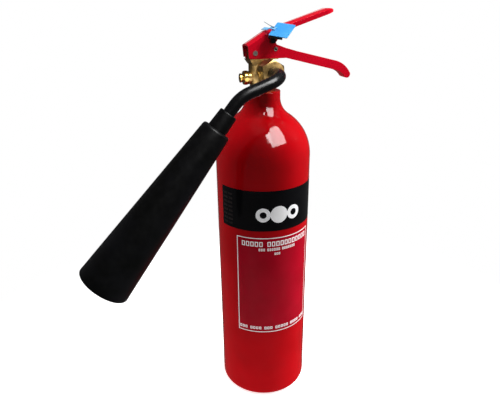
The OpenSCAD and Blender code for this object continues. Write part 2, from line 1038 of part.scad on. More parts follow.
cylinder_shell();  // cylinder
agent_band();
front_label();
valve_body();
neck_o_ring();
spring_retainer();
dip_tube();
gland_nut();
gland_o_ring();
burst_disc_washer();
burst_disc();
burst_disc_plug();
swivel_nut();
swivel_washer();
carry_handle();
handle_rivet();
lever_pivot_pin();
squeeze_lever();
pusher_pin();
valve_piston();
seat_seal();
valve_spring();
safety_pin();
pin_pull_loop();
seal_flag();
seal_strap();
swivel_pipe();
swivel_ferrule();
horn_collar();
horn_screw();
discharge_nozzle();
horn();
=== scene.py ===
"""Looks for a hand-held carbon dioxide fire extinguisher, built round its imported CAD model.

Lengths in the constants below are millimetres; every mesh is made in metres in the CAD's frame.
"""

import json
from math import atan2, cos, degrees, pi, radians, sin, sqrt, tan

import bpy
from mathutils import Matrix, Vector

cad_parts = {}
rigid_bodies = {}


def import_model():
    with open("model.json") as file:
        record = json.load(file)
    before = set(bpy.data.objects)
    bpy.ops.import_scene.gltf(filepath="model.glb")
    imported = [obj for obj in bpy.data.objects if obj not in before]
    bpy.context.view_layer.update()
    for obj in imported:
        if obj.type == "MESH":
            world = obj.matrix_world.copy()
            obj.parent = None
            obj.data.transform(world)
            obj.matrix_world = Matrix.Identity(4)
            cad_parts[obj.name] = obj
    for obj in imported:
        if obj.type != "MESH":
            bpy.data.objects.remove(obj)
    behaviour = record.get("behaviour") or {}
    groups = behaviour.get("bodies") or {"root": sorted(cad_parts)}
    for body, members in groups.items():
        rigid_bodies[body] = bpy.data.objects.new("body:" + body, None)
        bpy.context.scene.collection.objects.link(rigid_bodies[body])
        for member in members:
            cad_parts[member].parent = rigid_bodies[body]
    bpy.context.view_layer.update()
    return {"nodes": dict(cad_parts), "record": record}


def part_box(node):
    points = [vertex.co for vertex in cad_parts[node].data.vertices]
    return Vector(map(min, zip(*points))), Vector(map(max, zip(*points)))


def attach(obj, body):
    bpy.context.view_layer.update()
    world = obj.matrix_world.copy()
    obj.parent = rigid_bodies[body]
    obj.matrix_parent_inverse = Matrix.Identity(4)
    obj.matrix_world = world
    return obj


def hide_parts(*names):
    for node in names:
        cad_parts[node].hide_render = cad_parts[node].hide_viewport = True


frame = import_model()
MM = 0.001
NODES = frame["nodes"]

# ---------- sizes, millimetres ----------

CYL_R = (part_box("cylinder")[1].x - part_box("cylinder")[0].x) / 2 / MM
NECK_TOP_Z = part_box("cylinder")[1].z / MM
CYL_WALL = 4.0
BASE_WALL = 6.0
BASE_EDGE_R = 8.0
SHOULDER_Z = 336.0
NECK_R = 21.0
NECK_FILLET_R = 25.0
NECK_BORE_R = 13.0
NECK_CHAMFER = 0.6

FILM_R = CYL_R + 0.15
INK_R = FILM_R + 0.05
BAND_Z = (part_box("agent_band")[0].z / MM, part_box("agent_band")[1].z / MM)
BAND_HALF_ANGLE = 75.0
LABEL_Z = (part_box("front_label")[0].z / MM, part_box("front_label")[1].z / MM)
LABEL_HALF_ANGLE = 52.0

OUTLET_Z = 438.0
PIPE_R = 6.6
PIPE_BORE_R = 4.9
PIPE_DIP = 19.6
PIPE_REACH = 50.6
PIPE_START_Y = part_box("swivel_pipe")[1].y / MM
PIPE_END = 50.0
ELBOW_R = 20.0
BEND_R = 38.0
HORN_DIP = 50.5
HORN_PLANE = 75.0
HORN_START = 41.0
HORN_END = 250.0
HORN_TOP_R = 15.8
HORN_MOUTH_R = 30.2
HORN_WALL = 2.4
HORN_ROOF = 5.0
COLLAR_START = 20.5

LEVER_KNEE = (3.0, 0.0, 478.5)
LEVER_REAR_SLOPE = 30.6
TAG_CORNER = (13.3, -13.4, 488.4)
TAG_TURN = (33.0, 7.2, -46.0)
TAIL_START = (8.3, -20.7, 483.6)
TAIL_LEAN = 64.0
TAIL_LENGTH = 14.6

# Mesh settings: degrees between faces, the radius that counts as zero, and the grid of the films
SHARP_ANGLE = 35
ON_AXIS = 1e-6
FILM_CELL = 1.5

# The gap between groups of tiles, in tiles
WORD_GAP = 0.8


# ---------- mesh helpers ----------

def mesh_piece(name, shape, body, slot_name, finish=None):
    """A mesh object from (points, faces), smooth except at its sharp edges, riding on a body."""
    verts, faces = shape
    mesh = bpy.data.meshes.new(name)
    mesh.from_pydata([Vector(v) * MM for v in verts], [], faces)
    mesh.validate()
    mesh.polygons.foreach_set("use_smooth", [True] * len(mesh.polygons))
    mesh.set_sharp_from_angle(angle=radians(SHARP_ANGLE))
    piece = bpy.data.objects.new(name, mesh)
    bpy.context.scene.collection.objects.link(piece)
    mesh.materials.append(MATERIALS[finish or slot_name])
    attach(piece, body)
    return piece


def arc(centre, radius, start, end, steps):
    """Points of an arc in a plane, from one angle to another in degrees, both ends included."""
    angles = [start + (end - start) * i / steps for i in range(steps + 1)]
    return [(centre[0] + radius * cos(radians(a)), centre[1] + radius * sin(radians(a))) for a in angles]


def lathe(profile, steps, place=Matrix.Identity(4)):
    """Points and faces of a closed (radius, height) outline turned round its own Z axis, then placed."""
    verts, rings = [], []
    for r, z in profile:
        if r < ON_AXIS:
            rings.append([len(verts)] * steps)
            verts.append((0, 0, z))
        else:
            rings.append(list(range(len(verts), len(verts) + steps)))
            verts += [(r * cos(2 * pi * i / steps), r * sin(2 * pi * i / steps), z) for i in range(steps)]
    faces = []
    for low, high in zip(rings, rings[1:] + rings[:1]):
        if low[0] == low[1] and high[0] == high[1]:
            continue
        for i in range(steps):
            j = (i + 1) % steps
            face = [low[i], low[j], high[j], high[i]]
            faces.append(list(dict.fromkeys(face)))
    return [place @ Vector(v) for v in verts], faces


def sweep(stations, radii):
    """A tube along stations (point, direction, normal); radii are the outside's and the bore's."""
    sides = 64
    verts, faces = [], []
    for r in radii:
        for point, along, normal in stations:
            across = along.cross(normal)
            verts += [point + r * (cos(2 * pi * i / sides) * normal + sin(2 * pi * i / sides) * across)
                      for i in range(sides)]
    rows = len(stations)
    for k in range(len(radii)):
        for row in range(rows - 1):
            for i in range(sides):
                j = (i + 1) % sides
                a, b = (k * rows + row) * sides, (k * rows + row + 1) * sides
                quad = [a + i, b + i, b + j, a + j]
                faces.append(quad if k == 0 else quad[::-1])
    for row, flip in ((0, False), (rows - 1, True)):
        for i in range(sides):
            j = (i + 1) % sides
            a, b = row * sides, (rows + row) * sides
            quad = [a + i, a + j, b + j, b + i]
            faces.append(quad[::-1] if flip else quad)
    return verts, faces


# ---------- materials ----------

class Finish:
    """A material made of one Principled shader, with short ways to add noise, colour and bump."""

    def __init__(self, name, **sockets):
        self.material = bpy.data.materials.new(name)
        self.material.use_nodes = True
        self.tree = self.material.node_tree
        self.shader = self.tree.nodes["Principled BSDF"]
        for socket, value in sockets.items():
            self.shader.inputs[socket.replace("_", " ")].default_value = value
        self.place = self.tree.nodes.new("ShaderNodeTexCoord").outputs["Object"]

    def stretched(self, scale):
        """The object's own coordinates, stretched by a factor on each axis."""
        node = self.tree.nodes.new("ShaderNodeMapping")
        node.inputs["Scale"].default_value = scale
        self.tree.links.new(self.place, node.inputs["Vector"])
        return node.outputs["Vector"]

    def noise(self, size_mm, detail=2.0, roughness=0.5, scale=(1, 1, 1)):
        """Noise whose blotches are about size_mm across."""
        node = self.tree.nodes.new("ShaderNodeTexNoise")
        node.inputs["Scale"].default_value = 1 / (size_mm * MM)
        node.inputs["Detail"].default_value = detail
        node.inputs["Roughness"].default_value = roughness
        self.tree.links.new(self.stretched(scale), node.inputs["Vector"])
        return node.outputs["Fac"]

    def ramp(self, value, stops):
        """A colour ramp over value; stops are (position, colour)."""
        node = self.tree.nodes.new("ShaderNodeValToRGB")
        elements = node.color_ramp.elements
        for element, (position, colour) in zip(elements, (stops[0], stops[-1])):
            element.position = position
            element.color = (*colour, 1)
        for position, colour in stops[1:-1]:
            elements.new(position).color = (*colour, 1)
        self.tree.links.new(value, node.inputs["Fac"])
        return node.outputs["Color"]

    def span(self, value, low, high, low_in=0.3, high_in=0.7):
        """value carried over to the range low to high."""
        node = self.tree.nodes.new("ShaderNodeMapRange")
        ends = {"From Min": low_in, "From Max": high_in, "To Min": low, "To Max": high}
        for socket, number in ends.items():
            node.inputs[socket].default_value = number
        self.tree.links.new(value, node.inputs["Value"])
        return node.outputs["Result"]

    def colour(self, output):
        self.tree.links.new(output, self.shader.inputs["Base Color"])

    def roughness(self, output):
        self.tree.links.new(output, self.shader.inputs["Roughness"])

    def bump(self, height, depth_mm):
        """A bump of about depth_mm."""
        node = self.tree.nodes.new("ShaderNodeBump")
        node.inputs["Distance"].default_value = depth_mm * MM
        node.inputs["Strength"].default_value = 1.0
        self.tree.links.new(height, node.inputs["Height"])
        self.tree.links.new(node.outputs["Normal"], self.shader.inputs["Normal"])


def gloss_paint(name, deep, bright, peel_mm, peel_depth, ior):
    """Sprayed gloss paint: a faint drift of colour, orange peel and a clear top."""
    finish = Finish(name, IOR=ior)
    finish.colour(finish.ramp(finish.noise(45, 3), [(0.35, deep), (0.65, bright)]))
    finish.roughness(finish.span(finish.noise(18, 4), 0.06, 0.10))
    finish.bump(finish.noise(peel_mm, 1), peel_depth)
    return finish.material


def printed_film(name, deep, bright, ior, glow=0.0):
    """A printed self-adhesive film, glossy, with the slight waves of a hand-laid label. A glow above zero
    is painted light: the film gives off light of its own and looks brighter than the lamps make it.
    """
    finish = Finish(name, IOR=ior, Emission_Color=(1, 1, 1, 1), Emission_Strength=glow)
    finish.colour(finish.ramp(finish.noise(30, 3), [(0.35, deep), (0.65, bright)]))
    finish.roughness(finish.span(finish.noise(9, 3), 0.11, 0.18))
    finish.bump(finish.noise(14, 1), 0.02)
    return finish.material


def brass(name, dull, mid, bright, rough, grain_mm, grain_depth, tarnish_mm=9):
    """Brass with dark, rougher tarnish in blotches and the fine grain of a casting or of turning."""
    finish = Finish(name, Metallic=1.0)
    blotches = finish.noise(tarnish_mm, 5, 0.65)
    finish.colour(finish.ramp(blotches, [(0.30, dull), (0.5, mid), (0.70, bright)]))
    finish.roughness(finish.span(blotches, rough[1], rough[0]))
    finish.bump(finish.noise(grain_mm, 3, 0.6), grain_depth)
    return finish.material


def plated_steel(name, dull, bright, rough):
    """Zinc or nickel plated steel, or bare aluminium, with fine scratches along Y."""
    finish = Finish(name, Metallic=1.0)
    scratches = finish.noise(0.5, 2, 0.5, scale=(1, 0.08, 1))
    finish.colour(finish.ramp(finish.noise(4, 3), [(0.35, dull), (0.65, bright)]))
    finish.roughness(finish.span(scratches, *rough))
    finish.bump(scratches, 0.01)
    return finish.material


def moulded(name, deep, bright, rough, grain_mm, grain_depth, ior=1.45):
    """Moulded plastic or rubber with a fine surface grain."""
    finish = Finish(name, IOR=ior)
    finish.colour(finish.ramp(finish.noise(25, 4), [(0.35, deep), (0.65, bright)]))
    finish.roughness(finish.span(finish.noise(6, 4), *rough))
    finish.bump(finish.noise(grain_mm, 2), grain_depth)
    return finish.material


MATERIALS = {
    "red_paint": gloss_paint("red_paint", (0.46, 0.001, 0.004), (0.52, 0.001, 0.005),
                             peel_mm=2.2, peel_depth=0.004, ior=1.45),
    "lever_paint": gloss_paint("lever_paint", (0.42, 0.001, 0.010), (0.48, 0.002, 0.014),
                               peel_mm=1.1, peel_depth=0.006, ior=1.4),
    "band_print": printed_film("band_print", (0.002, 0.002, 0.003), (0.004, 0.004, 0.005), ior=1.4),
    "label_print": printed_film("label_print", (0.40, 0.001, 0.012), (0.46, 0.001, 0.015), ior=1.35),
    # white_ink has a painted glow: a faint emission that makes the ink brighter than the lamps light it.
    "white_ink": printed_film("white_ink", (0.90, 0.90, 0.92), (0.95, 0.95, 0.96), ior=1.3, glow=0.12),
    "grey_ink": printed_film("grey_ink", (0.020, 0.016, 0.016), (0.035, 0.026, 0.026), ior=1.3),
    "valve_brass": brass("valve_brass", (0.14, 0.085, 0.030), (0.36, 0.23, 0.085), (0.58, 0.40, 0.17),
                         rough=(0.26, 0.48), grain_mm=0.5, grain_depth=0.05),
    "bright_brass": brass("bright_brass", (0.42, 0.26, 0.05), (0.76, 0.53, 0.14), (0.90, 0.70, 0.26),
                          rough=(0.14, 0.28), grain_mm=0.25, grain_depth=0.01, tarnish_mm=5),
    "steel": plated_steel("steel", (0.28, 0.27, 0.26), (0.44, 0.43, 0.42), rough=(0.28, 0.42)),
    "aluminium_tube": plated_steel("aluminium_tube", (0.66, 0.66, 0.67), (0.8, 0.8, 0.81),
                                   rough=(0.22, 0.4)),
    "black_rubber": moulded("black_rubber", (0.010, 0.010, 0.010), (0.020, 0.020, 0.020),
                            rough=(0.6, 0.8), grain_mm=0.4, grain_depth=0.02),
    "white_plastic": moulded("white_plastic", (0.74, 0.74, 0.72), (0.82, 0.82, 0.80),
                             rough=(0.4, 0.55), grain_mm=0.4, grain_depth=0.01),
    "pipe_black": moulded("pipe_black", (0.003, 0.003, 0.004), (0.006, 0.006, 0.007),
                          rough=(0.24, 0.32), grain_mm=1.6, grain_depth=0.006),
    "horn_black": moulded("horn_black", (0.002, 0.002, 0.002), (0.004, 0.004, 0.005),
                          rough=(0.34, 0.46), grain_mm=0.7, grain_depth=0.02, ior=1.3),
    "loop_black": moulded("loop_black", (0.004, 0.004, 0.006), (0.009, 0.009, 0.012),
                          rough=(0.3, 0.45), grain_mm=0.5, grain_depth=0.01),
    "seal_blue": moulded("seal_blue", (0.035, 0.32, 0.78), (0.055, 0.38, 0.86),
                         rough=(0.35, 0.5), grain_mm=0.5, grain_depth=0.01),
    # strap_blue is lighter than seal_blue: the lighter blue is a painted highlight for the strap's top-lit
    # face.
    "strap_blue": moulded("strap_blue", (0.16, 0.46, 0.82), (0.24, 0.56, 0.88),
                          rough=(0.3, 0.45), grain_mm=0.5, grain_depth=0.01),
    "seal_tail": moulded("seal_tail", (0.02, 0.10, 0.14), (0.04, 0.16, 0.20),
                         rough=(0.3, 0.45), grain_mm=0.5, grain_depth=0.01),
}


# ---------- CAD nodes ----------

EDGE_WIDTHS = {
    "valve_body": 0.4,
    "swivel_nut": 0.35,
    "squeeze_lever": 0.5,
    "carry_handle": 0.5,
    "seal_flag": 0.3,
    "pin_pull_loop": 0.5,
    "burst_disc_plug": 0.2,
    "gland_nut": 0.2,
    "lever_pivot_pin": 0.15,
    "handle_rivet": 0.15,
}


def dress_cad_node(name, slot_name):
    """Gives a CAD node its finish."""
    node = NODES[name]
    node.data.materials.clear()
    node.data.materials.append(MATERIALS[slot_name])


def soften(name, width_mm):
    """Rounds a CAD node's edges without moving its own points: flat faces are joined up, then bevelled."""
    node = NODES[name]
    if "custom_normal" in node.data.attributes:
        node.data.attributes.remove(node.data.attributes["custom_normal"])
    node.data.polygons.foreach_set("use_smooth", [True] * len(node.data.polygons))
    weld = node.modifiers.new("weld", "WELD")
    weld.merge_threshold = 0.002 * MM
    flats = node.modifiers.new("flats", "DECIMATE")
    flats.decimate_type = "DISSOLVE"
    flats.angle_limit = radians(0.5)
    bevel = node.modifiers.new("edges", "BEVEL")
    bevel.width = width_mm * MM
    bevel.segments = 3
    bevel.limit_method = "ANGLE"
    bevel.angle_limit = radians(30)
    bevel.harden_normals = True
    bevel.use_clamp_overlap = True


for row in frame["record"]["subparts"]:
    dress_cad_node(row["node"], row["material_slot"])


# ---------- cylinder ----------

def cylinder_profile():
    """The shell's section: up the outside, down the bore and round the hollow."""
    fillet_x = NECK_R + NECK_FILLET_R
    fillet_z = SHOULDER_Z + sqrt((CYL_R + NECK_FILLET_R) ** 2 - fillet_x ** 2)
    meet = degrees(atan2(fillet_z - SHOULDER_Z, fillet_x))
    inner_r = CYL_R - CYL_WALL
    inner_edge_r = BASE_EDGE_R - CYL_WALL
    bore_meet = degrees(atan2(sqrt(inner_r ** 2 - NECK_BORE_R ** 2), NECK_BORE_R))
    outside = [(0, 0)]
    outside += arc((CYL_R - BASE_EDGE_R, BASE_EDGE_R), BASE_EDGE_R, -90, 0, 12)
    outside += [(CYL_R, SHOULDER_Z * 0.5)]
    outside += arc((0, SHOULDER_Z), CYL_R, 0, meet, 36)
    outside += arc((fillet_x, fillet_z), NECK_FILLET_R, meet + 180, 180, 20)[1:]
    outside += arc((NECK_R - NECK_CHAMFER, NECK_TOP_Z - NECK_CHAMFER), NECK_CHAMFER, 0, 90, 4)
    hollow = [(NECK_BORE_R, NECK_TOP_Z)]
    hollow += arc((0, SHOULDER_Z), inner_r, bore_meet, 0, 20)
    hollow += arc((inner_r - inner_edge_r, BASE_WALL + inner_edge_r), inner_edge_r, 0, -90, 6)
    hollow += [(0, BASE_WALL)]
    return outside + hollow


def make_cylinder():
    shell = mesh_piece("cylinder_shell", lathe(cylinder_profile(), 256), "extinguisher", "red_paint")
    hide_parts("cylinder")


# ---------- printed films and ink ----------

def on_wall(distance, z, r):
    """A point on the cylinder: distance along the wall from the front, in millimetres, and height."""
    angle = distance / CYL_R
    return (r * sin(angle), -r * cos(angle), z)


def wall_solid(outline_rows, low_r, high_r):
    """A thin closed solid on the wall from a grid of (distance, height) rows of equal length."""
    rows, cols = len(outline_rows), len(outline_rows[0])
    verts = [on_wall(d, z, r) for r in (high_r, low_r) for row in outline_rows for d, z in row]
    back = rows * cols
    faces = []
    for i in range(rows - 1):
        for j in range(cols - 1):
            a = i * cols + j
            faces.append([a, a + 1, a + cols + 1, a + cols])
            faces.append([back + a, back + a + cols, back + a + cols + 1, back + a + 1])
    edge = [i * cols for i in range(rows)] + [(rows - 1) * cols + j for j in range(1, cols)]
    edge += [i * cols + cols - 1 for i in range(rows - 2, -1, -1)] + list(range(cols - 2, 0, -1))
    for a, b in zip(edge, edge[1:] + edge[:1]):
        faces.append([a, b, back + b, back + a])
    return verts, faces


def wall_rectangle(left, right, low, high, low_r, high_r, corner=0.0):
    """A rectangle on the wall with rounded corners, as a thin solid."""
    cols, levels = max(2, int((right - left) / FILM_CELL) + 1), 8
    columns = []
    for j in range(cols + 1):
        d = left + (right - left) * j / cols
        reach = min(d - left, right - d)
        inset = 0.0
        if reach < corner:
            inset = corner - sqrt(max(0.0, corner ** 2 - (corner - reach) ** 2))
        columns.append((d, low + inset, high - inset))
    rows = [[(d, foot + (top - foot) * i / levels) for d, foot, top in columns] for i in range(levels + 1)]
    return wall_solid(rows, low_r, high_r)


def wall_ring(centre, inner, outer, low_r, high_r):
    """A disc or ring on the wall, as a thin solid."""
    steps, pinhole = 48, 0.02
    bands = max(2, int((outer - inner) / FILM_CELL))
    widths = [max(inner + (outer - inner) * i / bands, pinhole) for i in range(bands + 1)]
    return wall_solid([arc(centre, r, 0, 360, steps) for r in widths], low_r, high_r)


def joined(parts):
    """Several (points, faces) as one."""
    verts, faces = [], []
    for part_verts, part_faces in parts:
        faces += [[i + len(verts) for i in face] for face in part_faces]
        verts += part_verts
    return verts, faces


def open_tile(left, right, low, high, line):
    """The outline of a small rectangle, as four thin strips."""
    return [wall_rectangle(left, right, low, low + line, FILM_R, INK_R),
            wall_rectangle(left, right, high - line, high, FILM_R, INK_R),
            wall_rectangle(left, left + line, low + line, high - line, FILM_R, INK_R),
            wall_rectangle(right - line, right, low + line, high - line, FILM_R, INK_R)]


def tile_row(left, right, low, high, groups, gap, line):
    """A row of plain open tiles in groups: it stands where a printed line of words would be."""
    cells = sum(groups) + (len(groups) - 1) * WORD_GAP
    pitch = (right - left) / cells
    tiles, at = [], left
    for count in groups:
        for _ in range(count):
            tiles += open_tile(at, at + pitch - gap, low, high, line)
            at += pitch
        at += WORD_GAP * pitch
    return tiles


def make_band():
    half = radians(BAND_HALF_ANGLE) * CYL_R
    low, high = BAND_Z
    film = wall_rectangle(-half, half, low, high, CYL_R, FILM_R)
    band = mesh_piece("black_band_film", film, "extinguisher", "band_print")
    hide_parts("agent_band")

    middle_x, middle_z = 1.5, (low + high) / 2 - 4.5
    disc_r, ring_bore_r, ring_r, ring_gap = 10.8, 4.2, 9.0, 19.5
    marks = [wall_ring((middle_x, middle_z), 0, disc_r, FILM_R, INK_R)]
    for side in (-1, 1):
        marks.append(wall_ring((middle_x + side * ring_gap, middle_z), ring_bore_r, ring_r, FILM_R, INK_R))
    # The pictogram's white ink carries a painted glow, a faint emission that brightens it.
    mesh_piece("band_pictogram", joined(marks), "extinguisher", "band_print", "white_ink")

    rows, margin, tile_height = 8, 4, 2.6
    left, right = 3 - half, 19 - half
    pitch = (high - low - 2 * margin) / rows
    notes = []
    for row in range(rows):
        foot = low + margin + row * pitch
        notes += tile_row(left, right, foot, foot + tile_height, [4, 3 + row % 3], gap=0.7, line=0.6)
    mesh_piece("band_notes", joined(notes), "extinguisher", "band_print", "grey_ink")


def make_label():
    half = radians(LABEL_HALF_ANGLE) * CYL_R
    low, high = LABEL_Z
    corner_r, margin, line = 1.0, 1.0, 1.0
    film = wall_rectangle(-half, half, low, high, CYL_R, FILM_R, corner=corner_r)
    label = mesh_piece("label_film", film, "extinguisher", "label_print")
    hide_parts("front_label")

    edge = half - margin
    foot, top = low + margin, high - margin
    ink = [wall_rectangle(-edge, edge, top - line, top, FILM_R, INK_R),
           wall_rectangle(-edge, edge, foot, foot + line, FILM_R, INK_R)]
    for side in (-1, 1):
        left, right = sorted((side * edge, side * (edge - line)))
        ink.append(wall_rectangle(left, right, foot + line, top - line, FILM_R, INK_R))
    ink += tile_row(-45, 48, high - 12.5, high - 6, [5, 11], gap=1.3, line=1.1)
    ink += tile_row(-23.5, 25.5, high - 18.5, high - 15, [3, 6, 7], gap=0.8, line=0.7)
    ink += tile_row(-4, 4, high - 24.5, high - 21.5, [3], gap=0.7, line=0.6)
    ink += tile_row(-50, 51, low + 5.5, low + 9.5, [3, 4, 3, 5, 4, 3], gap=1.0, line=0.9)
    # The label's white ink carries a painted glow, a faint emission that brightens it.
    mesh_piece("label_ink", joined(ink), "extinguisher", "label_print", "white_ink")


# ---------- horn and its pipe ----------

def pipe_frame():
    """The pipe's own plane: its X runs back up the pipe's short straight part."""
    return Matrix.Translation((0, 0, OUTLET_Z)) @ Matrix.Rotation(radians(-PIPE_DIP), 4, "Y")


def horn_frame():
    """+Z runs down the horn from the pipe's lower corner."""
    turn = Matrix.Rotation(radians(PIPE_DIP - HORN_DIP - 90), 4, "Y")
    return pipe_frame() @ Matrix.Translation((-PIPE_REACH, -HORN_PLANE, 0)) @ turn


def pipe_stations():
    """The pipe's centreline, as (point, direction, normal) stations."""
    elbow_steps, bend_steps = 24, 12
    bend_turn = HORN_DIP - PIPE_DIP
    bend_tangent = BEND_R * tan(radians(bend_turn / 2))
    leg_x = -ELBOW_R - (PIPE_REACH - ELBOW_R - bend_tangent)
    stations = [((0, PIPE_START_Y, 0), (0, -1, 0), (0, 0, 1))]
    for i in range(elbow_steps + 1):
        a = radians(90 * i / elbow_steps)
        stations.append(((ELBOW_R * (cos(a) - 1), ELBOW_R * (1 - sin(a)) - HORN_PLANE, 0),
                         (-sin(a), -cos(a), 0), (0, 0, 1)))
    for i in range(bend_steps + 1):
        a = radians(bend_turn * i / bend_steps)
        stations.append(((leg_x - BEND_R * sin(a), -HORN_PLANE, BEND_R * (cos(a) - 1)),
                         (-cos(a), 0, -sin(a)), (-sin(a), 0, cos(a))))
    point, along, normal = (Vector(v) for v in stations[-1])
    stations.append((point + (PIPE_END - bend_tangent) * along, along, normal))
    place = pipe_frame()
    turn = place.to_3x3()
    return [(place @ Vector(p), turn @ Vector(d), turn @ Vector(n)) for p, d, n in stations]


def make_pipe():
    shape = sweep(pipe_stations(), (PIPE_R, PIPE_BORE_R))
    pipe = mesh_piece("bent_pipe", shape, "horn_assembly", "pipe_black")
    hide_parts("swivel_pipe")


def make_collar():
    top_r, foot_r, round_r, chamfer = 9.9, 10.7, 1.3, 0.8
    profile = [(PIPE_R, HORN_START), (PIPE_R, COLLAR_START + chamfer), (PIPE_R + chamfer, COLLAR_START)]
    profile += arc((top_r - round_r, COLLAR_START + round_r), round_r, -90, 0, 8)
    profile += [(foot_r, HORN_START)]
    shape = lathe(profile, 128, horn_frame())
    collar = mesh_piece("horn_collar_sleeve", shape, "horn_assembly", "horn_black")
    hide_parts("horn_collar")


def make_horn():
    top_round_r, inner_round_r = 2.6, 1.5
    lip_r = HORN_WALL / 2
    wall_from, wall_to, rings = HORN_START + 4, HORN_END - 2, 24
    length = wall_to - wall_from
    slope = (HORN_MOUTH_R - HORN_TOP_R) / (HORN_END - HORN_START)
    roof_z = HORN_START + HORN_ROOF
    profile = [(PIPE_R, roof_z), (PIPE_R, HORN_START)]
    profile += arc((HORN_TOP_R - top_round_r, HORN_START + top_round_r), top_round_r, -90, 0, 10)
    for i in range(rings):
        z = wall_from + length * i / rings
        profile.append((HORN_TOP_R + slope * (z - HORN_START), z))
    profile += arc((HORN_MOUTH_R - lip_r, HORN_END - lip_r), lip_r, 0, 180, 10)
    for i in range(1, rings):
        drop = length * i / rings
        profile.append((HORN_MOUTH_R - HORN_WALL - slope * drop, wall_to - drop))
    inner_x = HORN_TOP_R - HORN_WALL - inner_round_r
    profile += arc((inner_x, roof_z + inner_round_r), inner_round_r, 0, -90, 4)
    horn = mesh_piece("discharge_horn", lathe(profile, 192, horn_frame()), "horn_assembly", "horn_black")
    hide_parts("horn")


# ---------- tamper seal ----------

def smooth_path(points, steps):
    """Points of a smooth curve through the given ones, and the direction at each."""
    ends = [2 * points[0] - points[1], *points, 2 * points[-1] - points[-2]]
    path = []
    for a, b, c, d in zip(ends, ends[1:], ends[2:], ends[3:]):
        for i in range(steps):
            t = i / steps
            path.append(0.5 * (2 * b + (c - a) * t + (2 * a - 5 * b + 4 * c - d) * t ** 2
                               + (3 * b - a - 3 * c + d) * t ** 3))
    path.append(points[-1])
    along = [(q - p).normalized() for p, q in zip(path[:1] + path, path[1:] + path[-1:])]
    along[0] = (path[1] - path[0]).normalized()
    return path, along


def rounded_section(width, thickness):
    """A rectangle round the origin with almost fully round edges, as (across, up) pairs."""
    r, steps = thickness * 0.45, 4
    corners = ((1, 1, 0), (-1, 1, 90), (-1, -1, 180), (1, -1, 270))
    section = []
    for side, up, start in corners:
        section += arc((side * (width / 2 - r), up * (thickness / 2 - r)), r, start, start + 90, steps)
    return section


def ribbon(points, widthways, section, taper=1.0):
    """A closed strip: the section swept along a smooth path, with the widthways direction at each point."""
    steps = 8
    path, along = smooth_path(points, steps)
    sides, _ = smooth_path(widthways, steps)
    verts, faces = [], []
    n, last = len(section), len(path) - 1
    for k, (point, forward, side) in enumerate(zip(path, along, sides)):
        up = forward.cross(side).normalized()
        across = up.cross(forward)
        shrink = 1 + (taper - 1) * k / last
        verts += [point + shrink * (u * across + v * up) for u, v in section]
    for k in range(last):
        for i in range(n):
            j = (i + 1) % n
            faces.append([k * n + i, k * n + j, (k + 1) * n + j, (k + 1) * n + i])
    faces.append(list(range(n))[::-1])
    faces.append([last * n + i for i in range(n)])
    return verts, faces


def make_seal():
    """The strap crosses the lever's knee from behind it to the tag; a thin tail stands off the tag."""
    over = Matrix.Translation(LEVER_KNEE) @ Matrix.Rotation(radians(-LEVER_REAR_SLOPE), 4, "Y")
    turn_x, turn_y, turn_z = (Matrix.Rotation(radians(a), 4, axis) for a, axis in zip(TAG_TURN, "XYZ"))
    tag = Matrix.Translation(TAG_CORNER) @ turn_z @ turn_y @ turn_x
    lengthways = over.to_3x3() @ Vector((1, 0, 0))
    tag_down = tag.to_3x3() @ Vector((0, 1, 0))
    points = [over @ Vector(p) for p in ((1.5, 8.4, 2.6), (1.5, 5, 3.2), (1.5, -4, 3.5), (1.6, -13, 3.5))]
    points += [tag @ Vector(p) for p in ((-2.2, -11.7, 1.7), (3.6, -11.7, 1.3))]
    widthways = [lengthways] * 4 + [(lengthways + tag_down) / 2, tag_down]
    shape = ribbon(points, widthways, rounded_section(width=4.4, thickness=0.8))
    # The strap's lighter blue is a painted highlight of its top-lit face.
    strap = mesh_piece("seal_band", shape, "pull_pin", "strap_blue")
    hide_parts("seal_strap")

    lean = radians(TAIL_LEAN)
    along = Vector((-sin(lean), 0, cos(lean)))
    drop = Vector((0, 0, -0.5))
    start = Vector(TAIL_START)
    points = [start, start + 0.5 * TAIL_LENGTH * along + drop, start + TAIL_LENGTH * along]
    section = rounded_section(width=0.8, thickness=0.8)
    shape = ribbon(points, [Vector((0, 1, 0))] * 3, section, taper=0.65)
    mesh_piece("seal_tail", shape, "pull_pin", "strap_blue", "seal_tail")


# ---------- studio ----------

# Points that the lights aim at, in metres
MIDDLE = (0, 0, 0.28)
HEAD = (0.02, 0, 0.46)


def direction(azimuth, elevation):
    """The unit vector towards a light: azimuth 0 is in front of the label, 90 is on the handles' side."""
    a, e = radians(azimuth), radians(elevation)
    return Vector((sin(a) * cos(e), -cos(a) * cos(e), sin(e)))


def softbox(name, azimuth, elevation, distance, size, power, gives, target=MIDDLE):
    """A rectangular light, metres across, that gives either diffuse light or glossy reflections."""
    light = bpy.data.lights.new(name, "AREA")
    light.shape = "RECTANGLE"
    light.size, light.size_y = size
    light.energy = power
    lamp = bpy.data.objects.new(name, light)
    bpy.context.scene.collection.objects.link(lamp)
    towards = direction(azimuth, elevation)
    lamp.location = Vector(target) + distance * towards
    lamp.rotation_euler = towards.to_track_quat("Z", "Y").to_euler()
    lamp.visible_diffuse = gives == "diffuse"
    lamp.visible_glossy = gives == "glossy"
    lamp.visible_camera = False
    return lamp


def light_only(lamp, names):
    """Keeps a light to the pieces and CAD nodes with these materials; an empty group would not limit it."""
    finishes = [MATERIALS[name] for name in names]
    group = bpy.data.collections.new(lamp.name + "_lit")
    for piece in bpy.context.scene.objects:
        if piece.type == "MESH" and piece.data.materials and piece.data.materials[0] in finishes:
            group.objects.link(piece)
    if not group.objects:
        raise ValueError(lamp.name + " lights nothing")
    lamp.light_linking.receiver_collection = group


